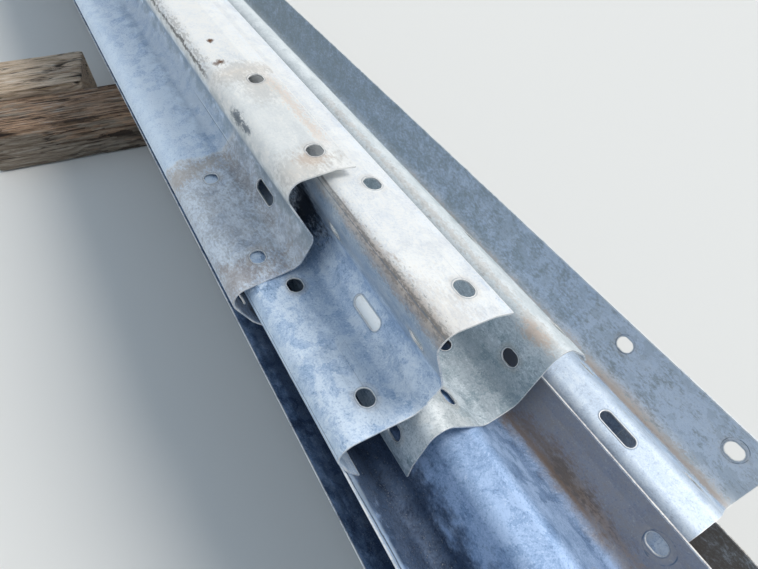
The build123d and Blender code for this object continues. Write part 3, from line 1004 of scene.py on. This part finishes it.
# A timber's seed, how much of it is torn, and its colours: deep grain, face, fresh wood in tears, weathered fibre
Timber = namedtuple("Timber", "seed torn deep face fresh silver")
TIMBERS = {
    "near_bearer": Timber(11, 1.4, WOOD_BROWN, WOOD_FACE, WOOD_TORN, WOOD_SILVER),
    "far_bearer": Timber(53, 0.8, WOOD_BROWN, WOOD_FACE, WOOD_TORN, WOOD_SILVER),
    "spare_timber": Timber(87, 0.6, WOOD_TAN, WOOD_PALE, WOOD_PALE, WOOD_LIGHT),
}
PITH_ASIDE = 0.04
PITH_BELOW = 0.05

# Where the timber's effects start and are full: by its patterns, by the depth of its wear, and by its half height
SAWN_STREAKS = (0.36, 0.54)
HEART_STREAKS = (0.38, 0.56)
SILVER_STREAKS = (0.54, 0.64)
SILVER_FIBRES = (0.58, 0.74)
DARK_FIBRES = (0.46, 0.30)
RED_BLOTCHES = (0.54, 0.66)
BARE_HEART = (0.70, 0.88)
DARK_DEPTH = (0.0055, 0.0095)
TOP_SIDE = (0.55, 0.9)
UNDERSIDE = (-0.55, -1.0)

# Shares of the timber's colours. A pair is how much more shows on streaks or on top and how much shows everywhere.
SAWN_SHARES = (0.65, 0.35)
RED_SHARES = (0.4, 0.15)
SILVER_SHARES = (0.50, 0.38)
DARK_SHARES = (0.30, 0.35)
GROWTH_SHARE = 0.45
HEART_SHARE = 0.9
FIBRE_SHARE = 0.45
CRACK_SHARE = 0.9
UNDERSIDE_SHARE = 0.25
TIMBER_ROUGHNESS = (0.2, 0.75)
TIMBER_HEIGHT = {"Streak": 1.2, "Fibre": 0.8, "Ring": 0.25, "Crack": -1.0}
TIMBER_RELIEF = 0.003
TIMBER_RELIEF_SHARE = 0.9


def timber_finish(node, timber):
    """Weathered sawn wood: grey fibres, brown heart where strips tore off, and dark splits."""
    finish, tree, shader = new_finish(f"weathered_wood_{node}")
    centre, turn, half = timber_axes(node)
    at = own_place(tree, centre, (0.0, 0.0, turn))
    moved = stretched(tree, at, EVEN, (float(timber.seed), 0.0, 0.0))
    grain = use(tree, timber_grain, Place=moved, Pith=(0.0, PITH_ASIDE, -half[2] - PITH_BELOW))
    streak, fibre, blotch = grain["Streak"], grain["Fibre"], grain["Blotch"]
    worn = place(tree, "ShaderNodeAttribute", attribute_name="worn").outputs["Fac"]
    height = axes(tree, at)[2]
    top, under = [ramp(tree, height, half[2] * start, half[2] * full) for start, full in (TOP_SIDE, UNDERSIDE)]
    sawn = raised(tree, ramp(tree, streak, *SAWN_STREAKS), *SAWN_SHARES)
    colour = tint(tree, sawn, timber.deep, timber.face)
    colour = paint(tree, colour, timber.deep, grain["Ring"], GROWTH_SHARE)
    bare = ramp(tree, total(tree, (blotch, 1.0), (top, 0.30), (worn, 40.0)), *BARE_HEART)
    heart = tint(tree, ramp(tree, streak, *HEART_STREAKS), timber.deep, timber.fresh)
    colour = paint(tree, colour, heart, bare, HEART_SHARE)
    colour = paint(tree, colour, WOOD_RED, ramp(tree, blotch, *RED_BLOTCHES), raised(tree, top, *RED_SHARES))
    silver = ramp(tree, streak, *SILVER_STREAKS)
    colour = paint(tree, colour, timber.silver, silver, raised(tree, top, *SILVER_SHARES))
    colour = paint(tree, colour, timber.silver, ramp(tree, fibre, *SILVER_FIBRES), FIBRE_SHARE)
    colour = paint(tree, colour, WOOD_DARK, ramp(tree, fibre, *DARK_FIBRES), raised(tree, top, *DARK_SHARES))
    colour = paint(tree, colour, WOOD_DARK, grain["Crack"], CRACK_SHARE)
    colour = tint(tree, ramp(tree, worn, *DARK_DEPTH), colour, WOOD_DARK)
    colour = paint(tree, colour, WOOD_DARK, under, UNDERSIDE_SHARE)
    tree.links.new(colour, shader.inputs["Base Color"])
    tree.links.new(raised(tree, fibre, *TIMBER_ROUGHNESS), shader.inputs["Roughness"])
    relief = weighed(tree, grain, TIMBER_HEIGHT)
    roughen(tree, shader, relief, TIMBER_RELIEF, TIMBER_RELIEF_SHARE)
    return finish


for node, timber in TIMBERS.items():
    piece = timber_surface(f"{node}_wood", node, timber.seed, timber.torn)
    piece.data.materials.append(timber_finish(node, timber))
    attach(piece, "root")
    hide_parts(node)


# The studio

def build_floor():
    """A wide, flat and pale floor."""
    finish, _, shader = new_finish("pale_floor")
    shader.inputs["Base Color"].default_value = opaque(FLOOR_COLOUR)
    shader.inputs["Roughness"].default_value = FLOOR_ROUGHNESS
    corners = [(x * FLOOR_REACH, y * FLOOR_REACH, 0) for x, y in ((-1, -1), (1, -1), (1, 1), (-1, 1))]
    floor = new_piece("floor", corners, [(0, 1, 2, 3)])
    floor.data.materials.append(finish)


def build_world():
    """Soft even light from all round, white where the camera, a reflection or a clear surface sees it."""
    world = bpy.data.worlds.new("studio")
    bpy.context.scene.world = world
    world.use_nodes = True
    tree = world.node_tree
    tree.nodes.clear()
    ray = place(tree, "ShaderNodeLightPath").outputs
    seen = calc(tree, "MAXIMUM", ray["Is Camera Ray"], ray["Is Glossy Ray"])
    seen = calc(tree, "MAXIMUM", seen, ray["Is Transmission Ray"])
    soft = place(tree, "ShaderNodeBackground", {"Color": opaque(SKY_COLOUR), "Strength": SKY_STRENGTH})
    white = place(tree, "ShaderNodeBackground", {"Color": (1.0, 1.0, 1.0, 1.0), "Strength": 1.0})
    mixed = place(tree, "ShaderNodeMixShader", {0: seen, 1: soft.outputs[0], 2: white.outputs[0]})
    place(tree, "ShaderNodeOutputWorld", {"Surface": mixed.outputs[0]})


def build_lamp():
    """One broad soft light from the right."""
    lamp = bpy.data.lights.new("broad_light", "SUN")
    lamp.energy = SUN_STRENGTH
    lamp.angle = radians(SUN_SPREAD)
    lamp.color = SUN_COLOUR
    new_object("broad_light", lamp).rotation_euler = [radians(angle) for angle in SUN_TILT]


def build_camera():
    """The photograph's point of view."""
    camera = bpy.data.cameras.new("photo_view")
    camera.sensor_width = SENSOR
    camera.lens = SENSOR * FOCAL_PIXELS / PHOTO_WIDTH
    camera.clip_start = NEAREST_SEEN
    view = new_object("photo_view", camera)
    view.location = CAMERA_PLACE
    view.rotation_euler = (radians(90 - CAMERA_DOWN), 0.0, radians(-CAMERA_RIGHT))
    bpy.context.scene.camera = view


build_camera()
build_world()
build_lamp()
build_floor()
bpy.context.scene.view_settings.view_transform = "Standard"
